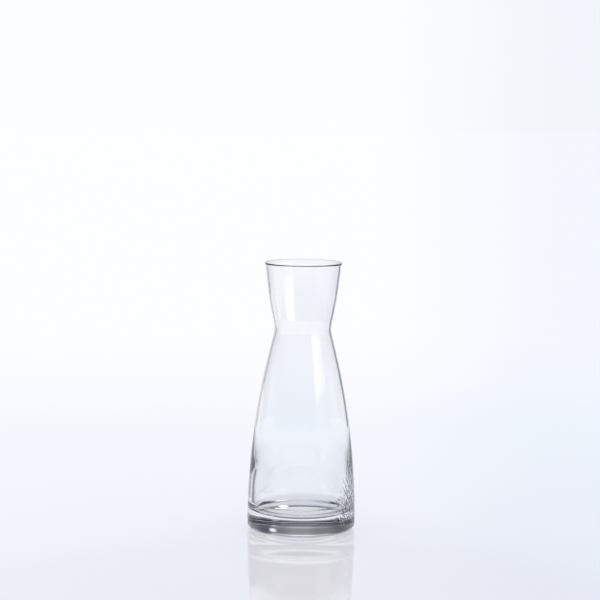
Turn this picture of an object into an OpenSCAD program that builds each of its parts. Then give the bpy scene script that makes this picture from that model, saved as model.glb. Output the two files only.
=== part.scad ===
// Clear glass water carafe, formed in one piece: a flared neck whose rim turns out a little, a
// tight waist, a bell body that widens to the foot, and a thick foot with a rounded heel.
// Millimetres, +Z up. The origin is the middle of the ring that stands on the table.

/* [Neck] */
// Height of the neck, from the narrowest place up to the top of the rim
neck_h = 52; // [44:1:66]
// Outer diameter at the rim
rim_d = 61; // [54:0.2:66]
// Wall at the rim, which ends in a full round lip
rim_wall = 1.6; // [1.2:0.1:2.6]
// How far the rim stands out beyond the line of the neck's side
rim_flare = 0.6; // [0.3:0.1:1]
// Radius of the turn outwards under the rim
rim_flare_r = 6; // [4:0.5:10]
// Radius of the slow outward bow of the neck's side
neck_bow_r = 320; // [220:10:600]

/* [Waist] */
// Height of the narrowest place above the table
waist_z = 160; // [145:1:175]
// Outer diameter at the narrowest place
waist_d = 44.9; // [40:0.1:50]
// Radius of the hollow curve round the waist
waist_blend_r = 22; // [15:1:30]
// Wall at the waist
waist_wall = 1.8; // [1.2:0.1:2.6]

/* [Body] */
// Radius of the slow outward bow of the body's side
body_bow_r = 590; // [450:2:900]
// Wall of the upper body, above the taper
upper_wall = 1.7; // [1.2:0.1:2.6]
// Wall at the foot of the taper
lower_wall = 4.5; // [3:0.1:6]
// Height at which the wall begins to thicken
taper_top_z = 86; // [74:1:110]
// Height at which it has reached its full thickness
taper_low_z = 28; // [20:1:40]
// Height of the middle of the crest, a low wave of the inner wall in the taper
crest_z = 46; // [40:1:56]
// Height of the whole crest
crest_h = 28; // [16:1:36]
// How far the crest stands inwards
crest = 0.4; // [0:0.1:1]

/* [Foot] */
// Widest outer diameter, just above the heel
foot_d = 85.6; // [80:0.1:92]
// Radius of the rounded heel
heel_r = 4.5; // [3:0.1:7]
// Height of the middle of the inner floor, which is the thickness of the foot
floor_z = 10.5; // [8:0.1:16]
// Radius of the dish of the inner floor
dish_r = 120; // [100:5:600]
// Radius of the round corner between the floor and the wall
corner_r = 6.5; // [4:0.5:9]
// Width of the flat ring that stands on the table
ring_w = 4.5; // [3:0.5:10]
// Depth of the hollow inside that ring
punt_depth = 1.5; // [0.5:0.1:4]
// Radius on the edge between the ring and the hollow
punt_edge_r = 1; // [0.5:0.5:2]

/* [Hidden] */

// Straight pieces that stand for each curve of the outline
bow_steps = 12;
side_steps = 40;
round_steps = 8;
// Facets of a preview round the axis
$fn = 180;

// Circles of the outline: [middle, radius], each touching its neighbours
top_z = waist_z + neck_h;
lip = [[(rim_d - rim_wall) / 2, top_z - rim_wall / 2], rim_wall / 2];
waist = [[waist_d / 2 + waist_blend_r, waist_z], waist_blend_r];
heel = [[foot_d / 2 - heel_r, heel_r], heel_r];
neck_top = [rim_d / 2 - rim_flare, top_z];
neck = [apart(waist[0], neck_bow_r + waist[1], neck_top, neck_bow_r), neck_bow_r];
flare = [apart(lip[0], rim_flare_r + lip[1], neck[0], neck_bow_r + rim_flare_r), rim_flare_r];
body = [apart(heel[0], body_bow_r - heel[1], waist[0], body_bow_r + waist[1]), body_bow_r];

// Circles of the inner floor and of the hollow under the foot
dish = [[0, floor_z + dish_r], dish_r];
inner_body = [body[0], body_bow_r - lower_wall];
corner = [apart(dish[0], dish_r - corner_r, inner_body[0], inner_body[1] - corner_r), corner_r];
punt_edge = [[heel[0][0] - ring_w, punt_edge_r], punt_edge_r];
punt_bow_r = (pow(punt_edge[0][0], 2) + pow(punt_depth, 2)) / (2 * punt_depth) - punt_edge_r;
punt = [[0, punt_depth - punt_bow_r], punt_bow_r];

// Direction from point p to point q, in degrees
function towards(p, q) = atan2(q[1] - p[1], q[0] - p[0]);

// The point at distance rp from p and rq from q, on the left of the way from p to q
function apart(p, rp, q, rq) =
    let (d = norm(q - p))
    let (turn = acos((rp * rp + d * d - rq * rq) / (2 * rp * d)))
    p + rp * unit(towards(p, q) + turn);

// Unit vector at an angle
function unit(a) = [cos(a), sin(a)];

// Stations along a circle from angle a to angle b: [point, direction out of the glass]
function along(c, a, b, steps, out = 1) =
    [for (i = [0 : steps]) let (u = unit(a + (b - a) * i / steps)) [c[0] + c[1] * u, out * u]];

// The points alone
function points(stations) = [for (s = stations) s[0]];

// A list without its first entry, where that repeats the end of the stretch before it
function rest(list) = [for (i = [1 : len(list) - 1]) list[i]];

function reversed(list) = [for (i = [len(list) - 1 : -1 : 0]) list[i]];

// Smooth step from 0 to 1
function ease(t) = let (c = min(max(t, 0), 1)) c * c * (3 - 2 * c);

// Wall thickness at a height: thin above, then a taper to the thick lower wall, with a low crest
function wall_at(z) =
    z > waist_z
    ? waist_wall + (rim_wall - waist_wall) * ease((z - waist_z) / (lip[0][1] - waist_z))
    : upper_wall
        + (waist_wall - upper_wall) * ease((z - taper_top_z) / (waist_z - taper_top_z))
        + (lower_wall - upper_wall) * ease((taper_top_z - z) / (taper_top_z - taper_low_z))
        + crest * ease(1 - abs(z - crest_z) * 2 / crest_h);

// Angles at which the circles of the side touch each other
lip_low = towards(flare[0], lip[0]);
flare_low = towards(neck[0], flare[0]);
neck_low = towards(neck[0], waist[0]);
body_top = towards(body[0], waist[0]);
corner_top = towards(body[0], corner[0]);
heel_top = towards(body[0], heel[0]);
corner_low = towards(dish[0], corner[0]);

// The side from the lip down to the lowest place that has an inner wall behind it
side = concat(
    along(flare, lip_low, flare_low + 180, round_steps, -1),
    rest(along(neck, flare_low, neck_low, bow_steps)),
    rest(along(waist, neck_low + 180, body_top + 180, bow_steps, -1)),
    rest(along(body, body_top, corner_top, side_steps))
);

outer_outline = concat(
    points(side),
    rest(points(along(body, corner_top, heel_top, round_steps))),
    rest(points(along(heel, heel_top, -90, round_steps)))
);

punt_outline = concat(
    points(along(punt_edge, -90, towards(punt_edge[0], punt[0]), round_steps)),
    rest(points(along(punt, towards(punt[0], punt_edge[0]), 90, bow_steps)))
);

inner_side = [for (s = side) s[0] - wall_at(s[0][1]) * s[1]];
inner_outline = concat(
    points(along(dish, -90, corner_low, bow_steps)),
    rest(points(along(corner, corner_low, corner_top, round_steps))),
    rest(reversed(inner_side))
);

// Over the lip from its inner side to its top, and from there to the side
lip_outline = concat(
    rest(points(along(lip, lip_low, 90, round_steps))),
    rest(reversed(rest(points(along(lip, lip_low - 180, 90, round_steps)))))
);

module carafe_glass()
    color([0.87, 0.91, 0.93, 0.4])
        rotate_extrude()
            polygon(concat(outer_outline, punt_outline, inner_outline, lip_outline));

carafe_glass();
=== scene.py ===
# Studio scene of a clear glass water carafe: the glass, a pale table, screens, a softbox and the camera.
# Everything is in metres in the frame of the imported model: +Z up, the foot stands at z = 0.
import math

import bpy
from mathutils import Matrix, Vector


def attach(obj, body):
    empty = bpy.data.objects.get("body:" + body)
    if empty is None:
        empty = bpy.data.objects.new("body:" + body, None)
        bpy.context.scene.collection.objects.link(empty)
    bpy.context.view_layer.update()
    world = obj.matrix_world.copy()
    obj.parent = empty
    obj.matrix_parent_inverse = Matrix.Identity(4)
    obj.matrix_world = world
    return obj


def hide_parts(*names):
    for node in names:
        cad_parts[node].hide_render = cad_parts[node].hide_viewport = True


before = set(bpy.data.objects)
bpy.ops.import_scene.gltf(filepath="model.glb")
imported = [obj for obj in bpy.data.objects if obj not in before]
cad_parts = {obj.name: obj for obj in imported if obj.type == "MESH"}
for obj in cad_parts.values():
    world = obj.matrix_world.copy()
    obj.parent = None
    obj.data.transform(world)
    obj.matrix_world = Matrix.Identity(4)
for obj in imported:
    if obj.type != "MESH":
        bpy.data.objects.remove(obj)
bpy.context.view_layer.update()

MM = 0.001

# Camera, fitted to the outline in the photograph: focal length and picture in pixels, angles in radians
PICTURE = 600
FOCAL_PIXELS = 2184
SENSOR_MM = 36
CAMERA_PLACE = Vector((-2.5 * MM, -1710.5 * MM, 375.7 * MM))
CAMERA_DOWN = 0.1127
CAMERA_ROLL = 0.0097
CAMERA_NEAR = 0.01
CAMERA_FAR = 100

# Neck
NECK_H = 52 * MM
RIM_D = 61 * MM
RIM_WALL = 1.6 * MM
RIM_FLARE = 0.6 * MM
RIM_FLARE_R = 6 * MM
NECK_BOW_R = 320 * MM

# Waist
WAIST_Z = 160 * MM
WAIST_D = 44.9 * MM
WAIST_BLEND_R = 22 * MM
WAIST_WALL = 1.8 * MM

# Body
BODY_BOW_R = 590 * MM
UPPER_WALL = 1.7 * MM
LOWER_WALL = 4.5 * MM
TAPER_TOP_Z = 86 * MM
TAPER_LOW_Z = 28 * MM
CREST_Z = 46 * MM
CREST_H = 28 * MM
CREST = 0.4 * MM
# The crest is higher on one side, at CREST_SIDE round the axis, and lower on the other
CREST_UNEVEN = 0.15 * MM
CREST_SIDE = math.radians(180)

# Foot
FOOT_D = 85.6 * MM
HEEL_R = 4.5 * MM
FLOOR_Z = 10.5 * MM
DISH_R = 120 * MM
CORNER_R = 6.5 * MM
RING_W = 4.5 * MM
PUNT_DEPTH = 1.5 * MM
PUNT_EDGE_R = 1 * MM

# Mesh: facets round the axis, and the longest step along the outline
AROUND = 288
STEP = 0.6 * MM

# Glass: refraction, colour of its surface, and the faint tint of its body
GLASS_IOR = 1.52
GLASS_COLOUR = (0.986, 0.991, 0.997)
GLASS_TINT = (0.84, 0.87, 0.90)
GLASS_TINT_DENSITY = 6
# Slow unevenness of the surface: size of its swells and their height
SWELL = 30 * MM
SWELL_H = 0.03 * MM
# Ripples low down on the side of +X: their rough spacing, and their height
RIPPLE = 3 * MM
RIPPLE_H = 0.18 * MM
# They begin and reach their full height at these distances from the middle plane
RIPPLE_IN = 23 * MM
RIPPLE_FULL = 37 * MM
# Up the glass they begin, are full, start to fade and end at these heights
RIPPLE_LOW = 6 * MM
RIPPLE_LOW_FULL = 16 * MM
RIPPLE_HIGH_FULL = 20 * MM
RIPPLE_HIGH = 60 * MM
# They lie on the half towards the camera of the photograph, and fade over this much on either side
RIPPLE_EDGE = 4 * MM
# A wave texture of scale 1 runs through about this many radians in one unit
WAVE_RADIANS = 20

# The table lies just under the foot, so that no two surfaces share a plane
TABLE_GAP = 0.1 * MM
TABLE_HALF = 9
# Its colour by the distance from a place in front of the carafe, in metres: a near white with painted
# shade, darker near that place and lighter far off
TONES_FROM = Vector((0, -0.3, 0))
TABLE_SHADED_TONES = (
    (0.0, (0.80, 0.80, 0.85)),
    (0.23, (0.832, 0.828, 0.88)),
    (0.28, (0.845, 0.86, 0.915)),
    (0.35, (0.875, 0.885, 0.935)),
    (0.54, (0.89, 0.905, 0.945)),
    (0.81, (0.905, 0.93, 0.955)),
    (1.1, (0.965, 0.965, 0.98)),
    (1.5, (0.99, 0.985, 0.985)),
    (4.0, (0.99, 0.985, 0.985)),
)
TONE_REACH = 4
# Share of its colour that it gives off as painted light, to all but diffuse rays, so that it is there in
# the shadow too and lightens it
TABLE_PAINTED_LIGHT = 0.68
TABLE_GLOSS = 0.22
TABLE_ROUGHNESS = 0.05
# A fan-shaped shade on the side of +X, on the table and behind it. It spreads from a place this far in
# front of the carafe
FAN_BACK = 1.71
# The forwards distance from that place counts as no less than this
FAN_LEAST = 0.855
# Where the shade starts and is full, as sideways over forwards distance, and its colour
FAN_START = 0.03
FAN_END = 0.12
FAN_TONE = (0.915, 0.935, 0.97)

# Smoked screens and a lamp, in rings round the carafe: name, tone, share that shows where it is seen
# through both walls of the glass, radius, foot, height where the top begins to fade, top, and how
# dense they are by azimuth in degrees, from behind towards +X
SCREENS = (
    ("edge", (0.05, 0.05, 0.05), 0, 0.13, 0.001, 0.028, 0.042, (
        (-74, 0), (-66, 0.85), (-55, 0.9), (-50, 0.1), (-43, 0.1), (-36, 0.6), (-30, 0.75),
        (-18, 0.65), (-12, 0), (13, 0), (18, 0.4), (32, 0.5), (43, 0.45), (50, 0.15), (55, 0.95),
        (66, 0.9), (75, 0),
    )),
    ("near", (0.05, 0.06, 0.11), 0.3, 0.132, 0.001, 0.028, 0.042, (
        (-50, 0), (-42, 0.2), (-34, 0.4), (-28, 0.45), (-21, 0.35), (-12, 0), (12, 0), (20, 0.3), (29, 0.4),
        (37, 0.35), (45, 0.25), (50, 0),
    )),
    ("low", (0.05, 0.05, 0.05), 0.3, 0.42, 0.02, 0.1, 0.1, (
        (-78, 0), (-70, 0.25), (-60, 0.4), (-54, 0), (-37, 0), (-33, 0.55), (-26, 0.5), (-10, 0.3), (-4, 0),
        (4, 0), (10, 0.3), (16, 0.45), (20, 0.6), (25, 1), (31, 1), (37, 0.5), (42, 0),
    )),
    ("high", (0.05, 0.06, 0.12), 0.3, 0.42, 0.1, 0.26, 0.28, (
        (-168, 0), (-160, 0.35), (-110, 0.35), (-102, 0), (-78, 0), (-72, 0.5), (-50, 0.6), (-40, 0.7),
        (-34, 0.65), (-26, 0.5), (-10, 0.3), (-4, 0), (4, 0), (10, 0.35), (20, 0.6), (25, 1), (31, 1),
        (38, 0.7), (45, 0.4), (70, 0.35), (80, 0), (102, 0), (106, 0.35), (120, 0.35), (124, 0),
        (147, 0), (151, 0.35), (164, 0.35), (168, 0),
    )),
    ("lamp", (1.1, 1.1, 1.1), 0, 0.41, 0.1, 0.15, 0.17, ((16, 0), (18, 0.9), (21, 0.9), (23, 0))),
)

# Flat pieces that stand for the round of a screen
SCREEN_STEPS = 120
# Light is bent this many times on its way through one wall of the glass
ONE_WALL = 2

# Softbox: azimuth, elevation, distance, width, height and tone
SOFTBOX = (125, 17.5, 1.5, 1.2, 0.5, (3.4, 3.4, 3.4))
SOFTBOX_AIM_Z = 0.1
# Share of its half width and half height over which it fades
SOFT_EDGE = 0.5

# Room seen through the glass: white up to one height above the horizon, dim from another, and lighter
# towards the ceiling
ROOM_LOW = math.radians(5)
ROOM_HIGH = math.radians(12)
ROOM_TONE = 0.27
CEILING_LOW = math.radians(36)
CEILING_HIGH = math.radians(52)
CEILING_TONE = 0.9
# Room that the glass and the table mirror: the same two heights, its tone and a cool tint
MIRRORED_LOW = math.radians(18)
MIRRORED_HIGH = math.radians(28)
MIRRORED_TONE = 0.5
MIRRORED_TINT = (0.92, 0.99, 1.12)
# The side behind the camera is dimmer: how far towards it, its colour, and the heights between which
# this sets in
FRONT_START = -0.35
FRONT_END = 0.35
FRONT_TONE = (0.62, 0.71, 0.92)
FRONT_LOW = math.radians(1)
FRONT_HIGH = math.radians(8)
SKY_SEEN = (0.975, 0.985, 1.0)

# Corners of a flat card, as signs of its half sizes
CORNERS = ((-1, -1), (1, -1), (1, 1), (-1, 1))


def unit(angle):
    return Vector((math.cos(angle), math.sin(angle)))


def towards(p, q):
    """Direction from p to q, as an angle in the plane of the outline."""
    return math.atan2(q[1] - p[1], q[0] - p[0])


def apart(p, reach_p, q, reach_q):
    """The point at those distances from p and q, on the left of the way from p to q."""
    d = (q - p).length
    turn = math.acos((reach_p ** 2 + d ** 2 - reach_q ** 2) / (2 * reach_p * d))
    return p + reach_p * unit(towards(p, q) + turn)


def along(middle, radius, start, end, out=1):
    """Stations on an arc from one angle to another: [(point, direction out of the glass)]."""
    count = max(2, math.ceil(abs(end - start) * radius / STEP))
    turns = [unit(start + (end - start) * i / count) for i in range(count + 1)]
    return [(middle + radius * u, out * u) for u in turns]


def ease(t):
    c = min(max(t, 0), 1)
    return c * c * (3 - 2 * c)


def wall_at(z, angle):
    """Thickness of the side wall: thin above, then a wave inwards to the thick lower wall."""
    if z > WAIST_Z:
        return WAIST_WALL + (RIM_WALL - WAIST_WALL) * ease((z - WAIST_Z) / (NECK_H - RIM_WALL / 2))
    crest = CREST + CREST_UNEVEN * math.cos(angle - CREST_SIDE)
    return (
        UPPER_WALL
        + (WAIST_WALL - UPPER_WALL) * ease((z - TAPER_TOP_Z) / (WAIST_Z - TAPER_TOP_Z))
        + (LOWER_WALL - UPPER_WALL) * ease((TAPER_TOP_Z - z) / (TAPER_TOP_Z - TAPER_LOW_Z))
        + crest * ease(1 - abs(z - CREST_Z) * 2 / CREST_H)
    )


def outline():
    """The glass in section, from the axis under the foot, round the rim and back to the axis.

    Each station is (point, direction out of the glass, True on the inner side wall), where an inner
    station keeps the point of the outer side that it lies behind."""
    quarter = math.pi / 2
    lip = Vector(((RIM_D - RIM_WALL) / 2, WAIST_Z + NECK_H - RIM_WALL / 2))
    waist = Vector((WAIST_D / 2 + WAIST_BLEND_R, WAIST_Z))
    heel = Vector((FOOT_D / 2 - HEEL_R, HEEL_R))
    neck_top = Vector((RIM_D / 2 - RIM_FLARE, WAIST_Z + NECK_H))
    neck = apart(waist, NECK_BOW_R + WAIST_BLEND_R, neck_top, NECK_BOW_R)
    flare = apart(lip, RIM_FLARE_R + RIM_WALL / 2, neck, NECK_BOW_R + RIM_FLARE_R)
    body = apart(heel, BODY_BOW_R - HEEL_R, waist, BODY_BOW_R + WAIST_BLEND_R)
    dish = Vector((0, FLOOR_Z + DISH_R))
    corner = apart(dish, DISH_R - CORNER_R, body, BODY_BOW_R - LOWER_WALL - CORNER_R)
    punt_edge = Vector((heel[0] - RING_W, PUNT_EDGE_R))
    punt_r = (punt_edge[0] ** 2 + PUNT_DEPTH ** 2) / (2 * PUNT_DEPTH) - PUNT_EDGE_R
    punt = Vector((0, PUNT_DEPTH - punt_r))

    flare_low = towards(neck, flare)
    lip_low = towards(flare, lip)
    neck_low = towards(neck, waist)
    body_top = towards(body, waist)
    corner_top = towards(body, corner)
    heel_top = towards(body, heel)
    punt_end = towards(punt, punt_edge)
    under = along(punt, punt_r, quarter, punt_end, -1)
    edge = along(punt_edge, PUNT_EDGE_R, punt_end - math.pi, -quarter)
    round_heel = along(heel, HEEL_R, -quarter, heel_top)
    low_body = along(body, BODY_BOW_R, heel_top, corner_top)
    side = (
        along(body, BODY_BOW_R, corner_top, body_top)
        + along(waist, WAIST_BLEND_R, body_top + math.pi, neck_low + math.pi, -1)[1:]
        + along(neck, NECK_BOW_R, neck_low, flare_low)[1:]
        + along(flare, RIM_FLARE_R, flare_low + math.pi, lip_low, -1)[1:]
    )
    over_lip = along(lip, RIM_WALL / 2, lip_low - math.pi, lip_low)
    low_corner = along(corner, CORNER_R, corner_top, towards(dish, corner), -1)
    floor = along(dish, DISH_R, towards(dish, corner), -quarter, -1)
    outer = under + edge[1:] + round_heel + low_body[1:] + side[1:] + over_lip[1:-1]
    return (
        [(p, u, False) for p, u in outer]
        + [(p, u, True) for p, u in reversed(side)]
        + [(p, u, False) for p, u in low_corner[1:] + floor[1:]]
    )


def revolve(name, stations):
    """A closed mesh: the outline turned round the axis, with its first and last station as poles."""
    poles = [Vector((0, 0, stations[0][0][1])), Vector((0, 0, stations[-1][0][1]))]
    rings = stations[1:-1]
    points = []
    for point, out, inner in rings:
        for i in range(AROUND):
            angle = math.tau * i / AROUND
            p = point - wall_at(point[1], angle) * out if inner else point
            points.append((p[0] * math.cos(angle), p[0] * math.sin(angle), p[1]))
    faces = []
    for i in range(AROUND):
        j = (i + 1) % AROUND
        for k in range(len(rings) - 1):
            a, b = k * AROUND, (k + 1) * AROUND
            faces.append((a + i, a + j, b + j, b + i))
        last = (len(rings) - 1) * AROUND
        faces.append((len(points), j, i))
        faces.append((len(points) + 1, last + i, last + j))
    mesh = bpy.data.meshes.new(name)
    mesh.from_pydata(points + [tuple(p) for p in poles], [], faces)
    mesh.polygons.foreach_set("use_smooth", [True] * len(mesh.polygons))
    mesh.update()
    piece = bpy.data.objects.new(name, mesh)
    bpy.context.scene.collection.objects.link(piece)
    return piece


def add(tree, kind, inputs=(), **settings):
    """A shader node with its settings, and values for its sockets by name or number."""
    made = tree.nodes.new(kind)
    for key, value in settings.items():
        setattr(made, key, value)
    for key, value in dict(inputs).items():
        made.inputs[key].default_value = value
    return made


def fade(tree, start, end, inputs=()):
    """A node that goes softly from 0 to 1 between two values."""
    values = {"From Min": start, "From Max": end, **dict(inputs)}
    return add(tree, "ShaderNodeMapRange", values, interpolation_type="SMOOTHSTEP")


def link(tree, *pairs):
    """Links given as (node, output, node, input)."""
    for source, out, target, into in pairs:
        tree.links.new(source.outputs[out], target.inputs[into])


def new_tree(owner):
    owner.use_nodes = True
    owner.node_tree.nodes.clear()
    return owner.node_tree


def clear_glass():
    """Clear glass with a faint tint, slow swells, and a patch of fine ripples low down on one side."""
    material = bpy.data.materials.new("clear_glass")
    tree = new_tree(material)
    out = add(tree, "ShaderNodeOutputMaterial")
    glass = add(tree, "ShaderNodeBsdfPrincipled", {
        "Base Color": (*GLASS_COLOUR, 1),
        "Roughness": 0,
        "IOR": GLASS_IOR,
        "Transmission Weight": 1,
    })
    tint = add(tree, "ShaderNodeVolumeAbsorption", {
        "Color": (*GLASS_TINT, 1),
        "Density": GLASS_TINT_DENSITY,
    })
    place = add(tree, "ShaderNodeTexCoord")
    swells = add(tree, "ShaderNodeTexNoise", {"Scale": 1 / SWELL, "Detail": 1, "Roughness": 0.4})
    swell = add(tree, "ShaderNodeMath", {1: SWELL_H}, operation="MULTIPLY")
    ripples = add(
        tree,
        "ShaderNodeTexWave",
        {"Scale": math.tau / (WAVE_RADIANS * RIPPLE), "Distortion": 9, "Detail": 2, "Detail Scale": 2},
        bands_direction="DIAGONAL",
    )
    parts = add(tree, "ShaderNodeSeparateXYZ")
    aside = fade(tree, RIPPLE_IN, RIPPLE_FULL, {"To Max": RIPPLE_H})
    low = fade(tree, RIPPLE_LOW, RIPPLE_LOW_FULL)
    high = fade(tree, RIPPLE_HIGH, RIPPLE_HIGH_FULL)
    front = fade(tree, RIPPLE_EDGE, -RIPPLE_EDGE)
    patch = add(tree, "ShaderNodeMath", operation="MULTIPLY")
    inner = add(tree, "ShaderNodeMath", operation="MULTIPLY")
    whole = add(tree, "ShaderNodeMath", operation="MULTIPLY")
    rippled = add(tree, "ShaderNodeMath", operation="MULTIPLY_ADD")
    bump = add(tree, "ShaderNodeBump", {"Strength": 1, "Distance": 1})
    link(
        tree,
        (place, "Object", swells, "Vector"),
        (swells, 0, swell, 0),
        (place, "Object", ripples, "Vector"),
        (place, "Object", parts, 0),
        (parts, "X", aside, 0),
        (parts, "Z", low, 0),
        (parts, "Z", high, 0),
        (parts, "Y", front, 0),
        (aside, 0, patch, 0),
        (low, 0, patch, 1),
        (high, 0, inner, 0),
        (front, 0, inner, 1),
        (patch, 0, whole, 0),
        (inner, 0, whole, 1),
        (ripples, "Fac", rippled, 0),
        (whole, 0, rippled, 1),
        (swell, 0, rippled, 2),
        (rippled, 0, bump, "Height"),
        (bump, 0, glass, "Normal"),
        (glass, "BSDF", out, "Surface"),
        (tint, "Volume", out, "Volume"),
    )
    return material


def place_object(name, points, faces, material):
    """A piece of the staging, which is no part of the carafe."""
    mesh = bpy.data.meshes.new(name)
    mesh.from_pydata(points, [], faces)
    mesh.materials.append(material)
    piece = bpy.data.objects.new(name, mesh)
    bpy.context.scene.collection.objects.link(piece)
    return piece


def table_material():
    """White acrylic with painted shade, darker towards the front and to one side, and a faint gloss; part
    of its colour is painted light that lightens its shadow.
    """
    material = bpy.data.materials.new("pale_table")
    tree = new_tree(material)
    out = add(tree, "ShaderNodeOutputMaterial")
    where = add(tree, "ShaderNodeNewGeometry")
    reach = add(tree, "ShaderNodeVectorMath", {1: TONES_FROM}, operation="DISTANCE")
    scaled = add(tree, "ShaderNodeMath", {1: 1 / TONE_REACH}, operation="MULTIPLY", use_clamp=True)
    # Painted shade: the table's colour darkens towards a place in front of the carafe
    tone = add(tree, "ShaderNodeValToRGB")
    ramp = tone.color_ramp
    while len(ramp.elements) < len(TABLE_SHADED_TONES):
        ramp.elements.new(1)
    for stop, (r, value) in zip(ramp.elements, TABLE_SHADED_TONES):
        stop.position = r / TONE_REACH
        stop.color = (*value, 1)
    parts = add(tree, "ShaderNodeSeparateXYZ")
    deep = add(tree, "ShaderNodeMath", {1: FAN_BACK}, operation="ADD")
    least = add(tree, "ShaderNodeMath", {1: FAN_LEAST}, operation="MAXIMUM")
    aside = add(tree, "ShaderNodeMath", operation="DIVIDE")
    fan = fade(tree, FAN_START, FAN_END)
    shade = add(tree, "ShaderNodeMix", {6: (1, 1, 1, 1), 7: (*FAN_TONE, 1)}, data_type="RGBA")
    shaded = add(tree, "ShaderNodeVectorMath", operation="MULTIPLY")
    top = add(tree, "ShaderNodeBsdfDiffuse")
    # Painted light: the table gives off its own colour to all but diffuse rays, which lightens its shadow
    painted_light = add(tree, "ShaderNodeEmission", {"Strength": 1})
    path = add(tree, "ShaderNodeLightPath")
    share = add(tree, "ShaderNodeMapRange", {"To Min": TABLE_PAINTED_LIGHT, "To Max": 0})
    body = add(tree, "ShaderNodeMixShader")
    gloss = add(tree, "ShaderNodeBsdfGlossy", {"Color": (1, 1, 1, 1), "Roughness": TABLE_ROUGHNESS})
    both = add(tree, "ShaderNodeMixShader", {0: TABLE_GLOSS})
    link(
        tree,
        (where, "Position", reach, 0),
        (reach, "Value", scaled, 0),
        (scaled, 0, tone, 0),
        (where, "Position", parts, 0),
        (parts, "Y", deep, 0),
        (deep, 0, least, 0),
        (parts, "X", aside, 0),
        (least, 0, aside, 1),
        (aside, 0, fan, 0),
        (tone, 0, shaded, 0),
        (fan, 0, shade, 0),
        (shade, 2, shaded, 1),
        (shaded, 0, top, "Color"),
        (shaded, 0, painted_light, "Color"),
        (path, "Is Diffuse Ray", share, 0),
        (share, 0, body, 0),
        (top, 0, body, 1),
        (painted_light, 0, body, 2),
        (body, 0, both, 1),
        (gloss, 0, both, 2),
        (both, 0, out, "Surface"),
    )
    material.cycles.emission_sampling = "NONE"
    return material


def table():
    corners = [(x * TABLE_HALF, y * TABLE_HALF, -TABLE_GAP) for x, y in CORNERS]
    return place_object("table", corners, [(0, 1, 2, 3)], table_material())


def show_through_glass_only(card):
    """Hidden from the camera, the table and reflections, and without a shadow."""
    card.visible_camera = False
    card.visible_diffuse = False
    card.visible_glossy = False
    card.visible_shadow = False


def screen_material(name, tone, through, fade_from, top, density):
    """Of its tone where it is dense, clear elsewhere, fading out towards its top.

    A ray that has passed more than one wall of the glass meets only the share called through."""
    material = bpy.data.materials.new(name)
    tree = new_tree(material)
    out = add(tree, "ShaderNodeOutputMaterial")
    where = add(tree, "ShaderNodeNewGeometry")
    parts = add(tree, "ShaderNodeSeparateXYZ")
    turn = add(tree, "ShaderNodeMath", operation="ARCTAN2")
    share = add(tree, "ShaderNodeMapRange", {"From Min": -math.pi, "From Max": math.pi})
    ramp = add(tree, "ShaderNodeValToRGB")
    stops = ramp.color_ramp.elements
    while len(stops) < len(density):
        stops.new(1)
    for stop, (azimuth, value) in zip(stops, density):
        stop.position = azimuth / 360 + 0.5
        stop.color = (value, value, value, 1)
    height = fade(tree, fade_from, top + MM, {"To Min": 1, "To Max": 0})
    dense = add(tree, "ShaderNodeMath", operation="MULTIPLY")
    path = add(tree, "ShaderNodeLightPath")
    edges = add(tree, "ShaderNodeMapRange", {
        "From Min": ONE_WALL,
        "From Max": ONE_WALL + 1,
        "To Min": 1,
        "To Max": through,
    })
    shown = add(tree, "ShaderNodeMath", operation="MULTIPLY")
    clear = add(tree, "ShaderNodeBsdfTransparent")
    dark = add(tree, "ShaderNodeEmission", {"Color": (*tone, 1)})
    both = add(tree, "ShaderNodeMixShader")
    link(
        tree,
        (where, "Position", parts, 0),
        (parts, "X", turn, 0),
        (parts, "Y", turn, 1),
        (turn, 0, share, 0),
        (share, 0, ramp, 0),
        (ramp, 0, dense, 0),
        (parts, "Z", height, 0),
        (height, 0, dense, 1),
        (path, "Transmission Depth", edges, 0),
        (dense, 0, shown, 0),
        (edges, 0, shown, 1),
        (shown, 0, both, 0),
        (clear, 0, both, 1),
        (dark, 0, both, 2),
        (both, 0, out, "Surface"),
    )
    material.cycles.emission_sampling = "NONE"
    return material


def screens():
    """Smoked screens and a lamp strip, which only the glass shows, give it its dark edges."""
    for name, tone, through, radius, foot, fade_from, top, density in SCREENS:
        points = []
        for k in range(SCREEN_STEPS):
            turn = math.tau * k / SCREEN_STEPS
            x, y = radius * math.sin(turn), radius * math.cos(turn)
            points += [(x, y, foot), (x, y, top)]
        count = len(points)
        faces = [(k, k + 1, (k + 3) % count, (k + 2) % count) for k in range(0, count, 2)]
        material = screen_material(name, tone, through, fade_from, top, density)
        show_through_glass_only(place_object("screen_" + name, points, faces, material))


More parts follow.
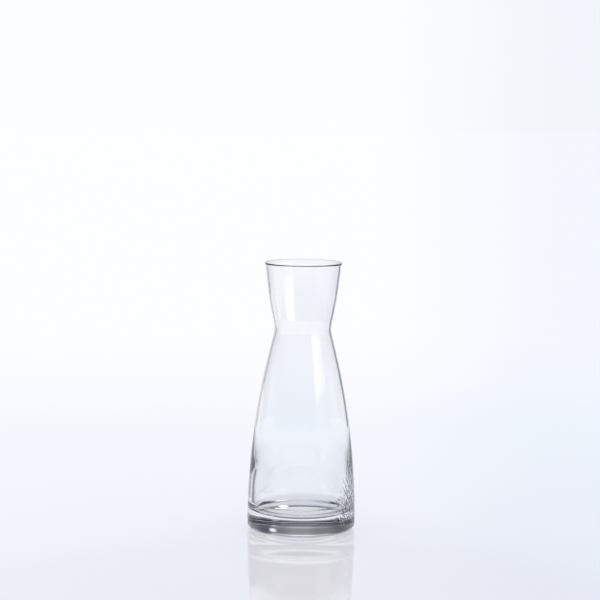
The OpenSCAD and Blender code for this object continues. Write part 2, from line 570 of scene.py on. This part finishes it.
def softbox(azimuth, elevation, distance, width, height, tone):
    """A bright panel that fades out towards its edges."""
    turn, lift = math.radians(azimuth), math.radians(elevation)
    out = Vector((math.sin(turn) * math.cos(lift), math.cos(turn) * math.cos(lift), math.sin(lift)))
    side = Vector((math.cos(turn), -math.sin(turn), 0))
    up = side.cross(out).normalized()
    material = bpy.data.materials.new("softbox")
    tree = new_tree(material)
    end = add(tree, "ShaderNodeOutputMaterial")
    place = add(tree, "ShaderNodeTexCoord")
    parts = add(tree, "ShaderNodeSeparateXYZ")
    both = add(tree, "ShaderNodeMath", operation="MULTIPLY")
    clear = add(tree, "ShaderNodeBsdfTransparent")
    light = add(tree, "ShaderNodeEmission", {"Color": (*tone, 1), "Strength": 1})
    shown = add(tree, "ShaderNodeMixShader")
    link(tree, (place, "Object", parts, 0), (both, 0, shown, 0), (clear, 0, shown, 1))
    link(tree, (light, 0, shown, 2), (shown, 0, end, "Surface"))
    for i, half in enumerate((width / 2, height / 2)):
        aside = add(tree, "ShaderNodeMath", operation="ABSOLUTE")
        kept = fade(tree, half, half * (1 - SOFT_EDGE))
        link(tree, (parts, i, aside, 0), (aside, 0, kept, 0), (kept, 0, both, i))
    material.cycles.emission_sampling = "NONE"
    corners = [(x * width / 2, y * height / 2, 0) for x, y in CORNERS]
    card = place_object("softbox", corners, [(0, 1, 2, 3)], material)
    turned = Matrix((side, up, out)).transposed().to_4x4()
    card.matrix_world = Matrix.Translation(Vector((0, 0, SOFTBOX_AIM_Z)) + distance * out) @ turned
    show_through_glass_only(card)


def surroundings():
    """White seen straight on and low down, an even light on rough things, and a dim room above; the white
    seen straight on has painted shade towards +X.
    """
    world = bpy.data.worlds.new("studio")
    bpy.context.scene.world = world
    tree = new_tree(world)
    out = add(tree, "ShaderNodeOutputWorld")
    path = add(tree, "ShaderNodeLightPath")
    place = add(tree, "ShaderNodeTexCoord")
    parts = add(tree, "ShaderNodeSeparateXYZ")
    lift = add(tree, "ShaderNodeMapRange", {"To Min": 1}, interpolation_type="SMOOTHSTEP")
    low = add(tree, "ShaderNodeMapRange", {
        "To Min": math.sin(MIRRORED_LOW),
        "To Max": math.sin(ROOM_LOW),
    })
    high = add(tree, "ShaderNodeMapRange", {
        "To Min": math.sin(MIRRORED_HIGH),
        "To Max": math.sin(ROOM_HIGH),
    })
    heights = (math.sin(CEILING_LOW), math.sin(CEILING_HIGH))
    ceiling = fade(tree, *heights, {"To Min": ROOM_TONE, "To Max": CEILING_TONE})
    dim = add(tree, "ShaderNodeMix", {2: MIRRORED_TONE}, data_type="FLOAT")
    tint = add(tree, "ShaderNodeMix", {6: (*MIRRORED_TINT, 1), 7: (1, 1, 1, 1)}, data_type="RGBA")
    room = add(tree, "ShaderNodeVectorMath", operation="SCALE")
    front = fade(tree, -FRONT_START, -FRONT_END)
    above = fade(tree, math.sin(FRONT_LOW), math.sin(FRONT_HIGH))
    dimmed = add(tree, "ShaderNodeMath", operation="MULTIPLY")
    faded = add(tree, "ShaderNodeMix", {6: (1, 1, 1, 1), 7: (*FRONT_TONE, 1)}, data_type="RGBA")
    sides = add(tree, "ShaderNodeVectorMath", operation="MULTIPLY")
    sharp = add(tree, "ShaderNodeMath", operation="SUBTRACT", use_clamp=True)
    even = add(tree, "ShaderNodeMix", {6: (1, 1, 1, 1)}, data_type="RGBA")
    seen = add(tree, "ShaderNodeMix", data_type="RGBA")
    # Painted shade on the white that the camera sees, darker towards +X
    fan = fade(tree, FAN_START, FAN_END)
    painted_shade_seen = [a * b for a, b in zip(SKY_SEEN, FAN_TONE)]
    sky = add(tree, "ShaderNodeMix", {6: (*SKY_SEEN, 1), 7: (*painted_shade_seen, 1)}, data_type="RGBA")
    back = add(tree, "ShaderNodeBackground", {"Strength": 1})
    link(
        tree,
        (place, "Generated", parts, 0),
        (parts, "Z", lift, 0),
        (path, "Is Transmission Ray", low, 0),
        (path, "Is Transmission Ray", high, 0),
        (low, 0, lift, "From Min"),
        (high, 0, lift, "From Max"),
        (parts, "Z", ceiling, 0),
        (path, "Is Transmission Ray", dim, 0),
        (ceiling, 0, dim, 3),
        (dim, 0, lift, "To Max"),
        (path, "Is Transmission Ray", tint, 0),
        (tint, 2, room, 0),
        (lift, 0, room, "Scale"),
        (path, "Is Glossy Ray", sharp, 0),
        (path, "Diffuse Depth", sharp, 1),
        (sharp, 0, even, 0),
        (parts, "Y", front, 0),
        (parts, "Z", above, 0),
        (front, 0, dimmed, 0),
        (above, 0, dimmed, 1),
        (dimmed, 0, faded, 0),
        (room, 0, sides, 0),
        (faded, 2, sides, 1),
        (sides, 0, even, 7),
        (path, "Is Camera Ray", seen, 0),
        (even, 2, seen, 6),
        (parts, "X", fan, 0),
        (fan, 0, sky, 0),
        (sky, 2, seen, 7),
        (seen, 2, back, "Color"),
        (back, 0, out, "Surface"),
    )
    return world


def camera():
    """A camera with the lens and the place of the one that took the photograph."""
    data = bpy.data.cameras.new("camera")
    data.sensor_width = SENSOR_MM
    data.lens = FOCAL_PIXELS / PICTURE * SENSOR_MM
    data.clip_start = CAMERA_NEAR
    data.clip_end = CAMERA_FAR
    piece = bpy.data.objects.new("camera", data)
    forward = Vector((0, math.cos(CAMERA_DOWN), -math.sin(CAMERA_DOWN)))
    level = Vector((1, 0, 0))
    rise = level.cross(forward)
    right = level * math.cos(CAMERA_ROLL) + rise * math.sin(CAMERA_ROLL)
    up = rise * math.cos(CAMERA_ROLL) - level * math.sin(CAMERA_ROLL)
    turned = Matrix((right, up, -forward)).transposed().to_4x4()
    piece.matrix_world = Matrix.Translation(CAMERA_PLACE) @ turned
    bpy.context.scene.collection.objects.link(piece)
    bpy.context.scene.camera = piece
    return piece


camera()
table()
screens()
softbox(*SOFTBOX)
surroundings()

glass = revolve("carafe", outline())
glass.data.materials.append(clear_glass())
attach(glass, "root")
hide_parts("carafe_glass")

bpy.context.scene.view_settings.view_transform = "Standard"
